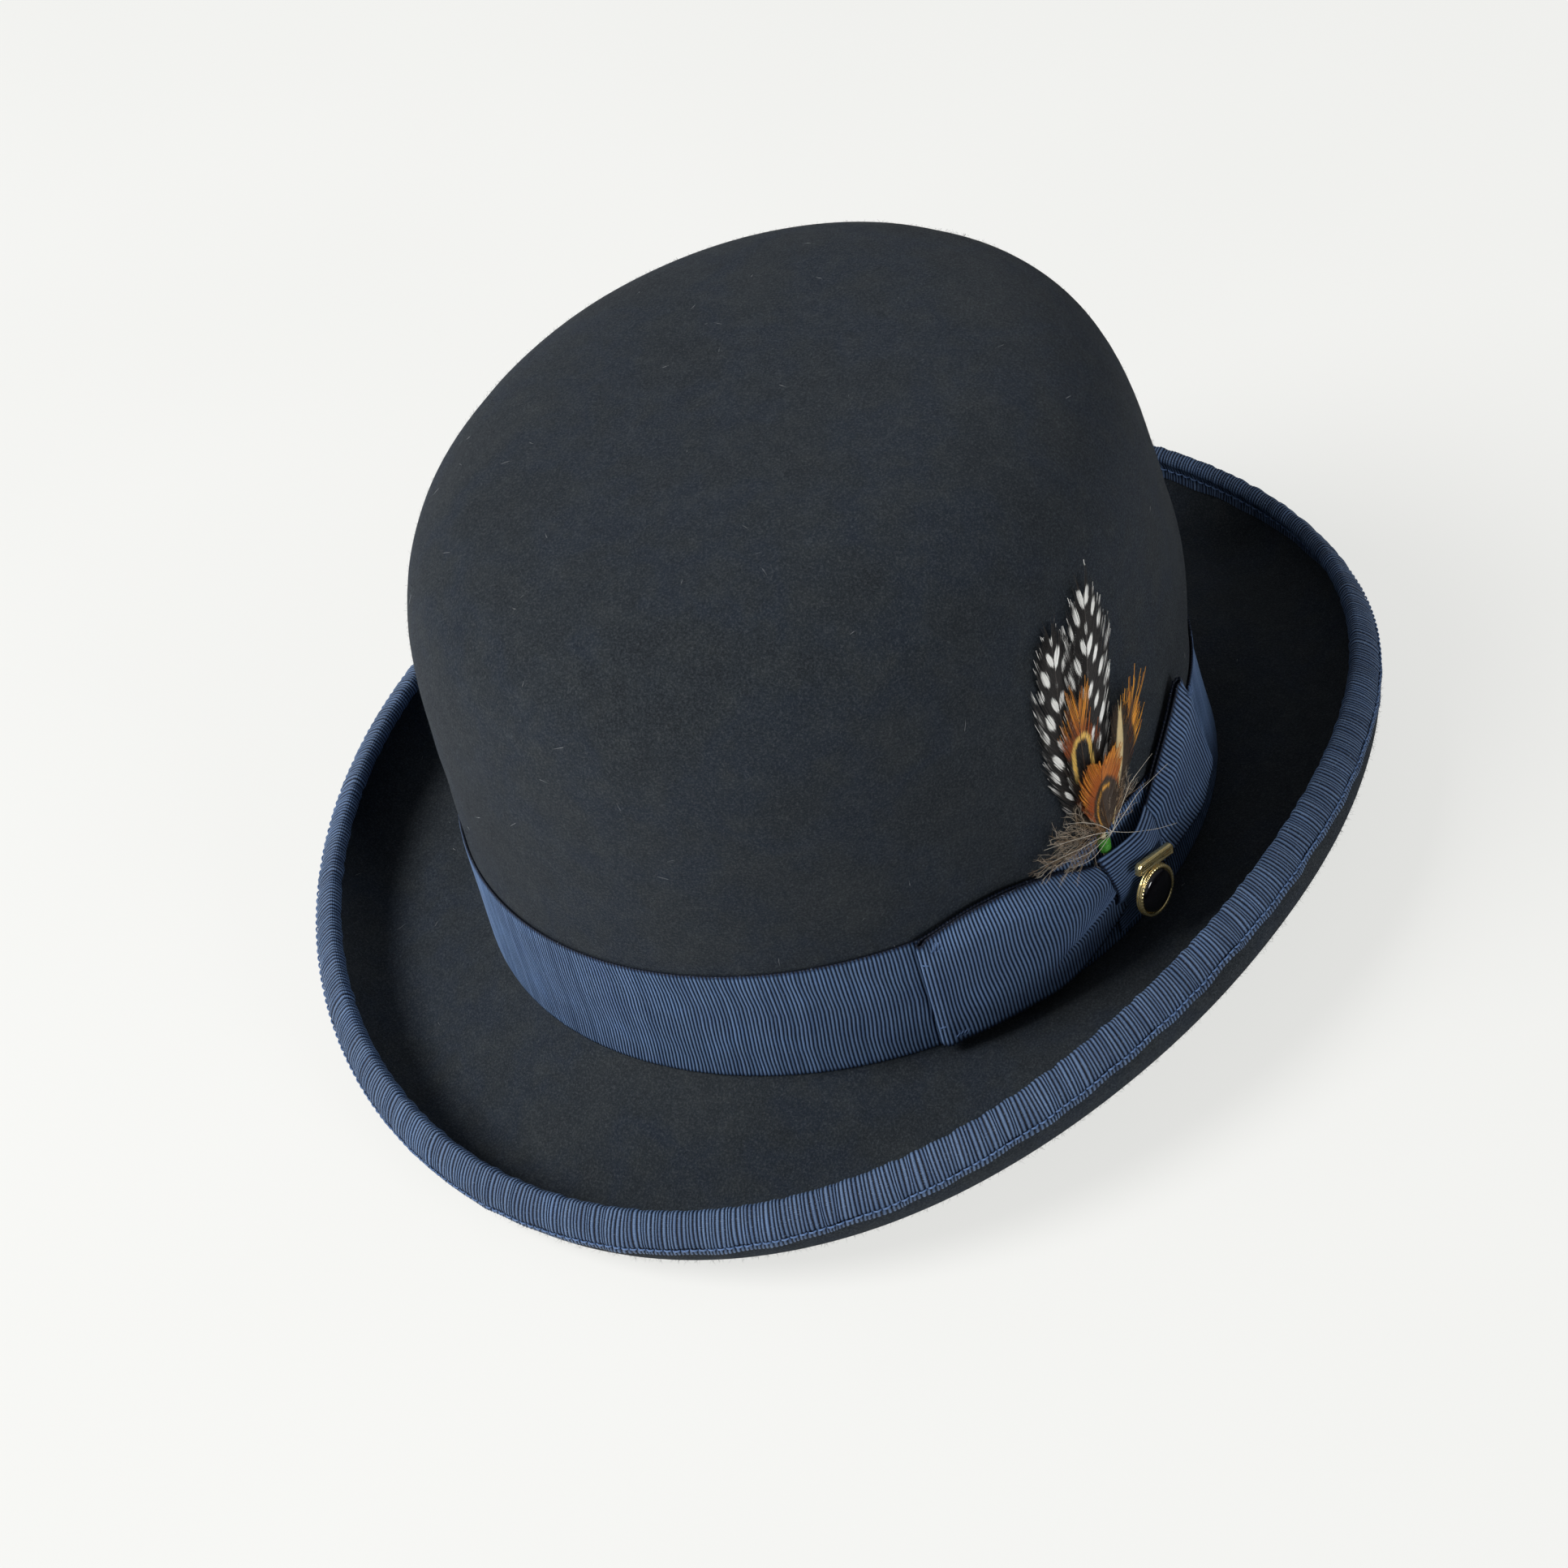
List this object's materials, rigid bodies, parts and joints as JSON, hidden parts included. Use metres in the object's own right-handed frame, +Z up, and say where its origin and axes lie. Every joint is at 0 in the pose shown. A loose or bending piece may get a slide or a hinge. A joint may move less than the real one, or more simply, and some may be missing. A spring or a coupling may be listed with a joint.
{
  "type": "bowler hat",
  "caption": "Stiff felt bowler hat: flat-topped round crown, dipped brim with a rolled ribbon-bound edge, ribbon band and side bow, lift-out feather spray, turning oval badge, lined inside.",
  "frame": {"origin": "on the plane the hat rests on, under the middle of its outline", "axes": "+Z up through the crown, -Y the way the wearer looks, +X the wearer's left, where the bow is"},
  "size_m": [0.2572, 0.2926, 0.1445],
  "materials": {
    "felt": "matte wool felt, navy to charcoal, fine fuzz",
    "grosgrain": "ribbed grosgrain ribbon, soft silk sheen",
    "thread": "twisted polyester sewing thread",
    "quill": "horn-like quill",
    "green_thread": "bright green floss wrap",
    "spotted_feather": "black feather barbs with white spots",
    "rust_feather": "rust and dark brown feather barbs",
    "striped_feather": "dark brown feather barbs with a cream stripe",
    "down": "grey-brown down",
    "gilt": "polished gilt",
    "black_enamel": "glossy black enamel",
    "steel_pin": "bright steel pin",
    "sweatband": "dark grosgrain sweatband",
    "reed": "satin covered reed",
    "satin": "navy satin",
    "label": "blank woven tag"
  },
  "bodies": {
    "hat": {"felt_body": "felt", "brim_binding": "grosgrain", "binding_thread_outer": "thread", "binding_thread_inner": "thread", "hat_band": "grosgrain", "bow_front_loop": "grosgrain", "bow_rear_loop": "grosgrain", "bow_knot": "grosgrain", "badge_clutch": "gilt", "sweatband": "sweatband", "sweatband_reed": "reed", "sweatband_bow": "satin", "sweatband_bow_knot": "satin", "size_label": "label", "lining_side": "satin", "lining_tip": "satin"},
    "feather_spray": {"feather_stem": "quill", "stem_wrap": "green_thread", "guinea_feather_back": "spotted_feather", "guinea_feather_front": "spotted_feather", "pheasant_feather_left": "rust_feather", "pheasant_feather_right": "rust_feather", "pheasant_feather_center": "rust_feather", "striped_feather": "striped_feather", "down_tuft": "down"},
    "badge": {"badge_bezel": "gilt", "badge_enamel": "black_enamel", "badge_bar": "gilt", "badge_post": "steel_pin"}
  },
  "joints": [
    {"name": "feather_slide", "type": "slide", "parent": "hat", "child": "feather_spray", "axis": [-0.0395, 0.0885, 0.9953], "range_m": [0, 0.032]},
    {"name": "badge_turn", "type": "hinge", "parent": "hat", "child": "badge", "pos_m": [0.0894, -0.00343, 0.03114], "axis": [0.9975, -0.0498, 0.0499], "continuous": true}
  ]
}
